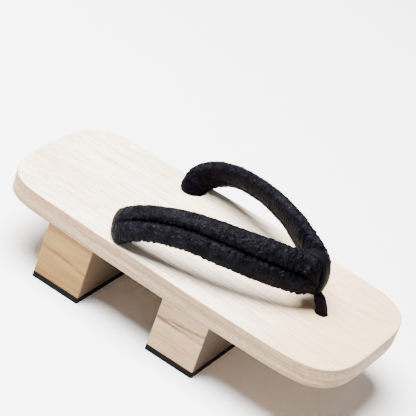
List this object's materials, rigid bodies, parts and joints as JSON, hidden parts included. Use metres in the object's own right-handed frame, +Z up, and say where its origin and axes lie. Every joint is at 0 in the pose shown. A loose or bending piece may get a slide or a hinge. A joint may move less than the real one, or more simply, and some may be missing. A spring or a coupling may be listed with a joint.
{
  "type": "geta sandal",
  "caption": "Wooden geta sandal: a pale rounded footboard on tall teeth with rubber soles, and a padded black V-shaped strap held down by a front loop.",
  "frame": {"origin": "on the floor, below the middle of the footboard", "axes": "+X towards the toe along the footboard, +Z up, +Y to the left of the toe's direction"},
  "size_m": [0.25, 0.115, 0.0926],
  "materials": {
    "board_wood": "bare bleached paulownia, fine straight grain, matt",
    "tooth_wood": "bare pine with brown streaks, matt",
    "sole_rubber": "matt black",
    "strap_cloth": "crinkled black cloth over wadding, soft sheen",
    "loop_cloth": "smooth black cloth, soft sheen"
  },
  "bodies": {
    "root": {"board": "board_wood", "tooth_rear": "tooth_wood", "tooth_front": "tooth_wood", "sole_rear": "sole_rubber", "sole_front": "sole_rubber", "strap": "strap_cloth", "front_loop": "loop_cloth"}
  },
  "joints": []
}
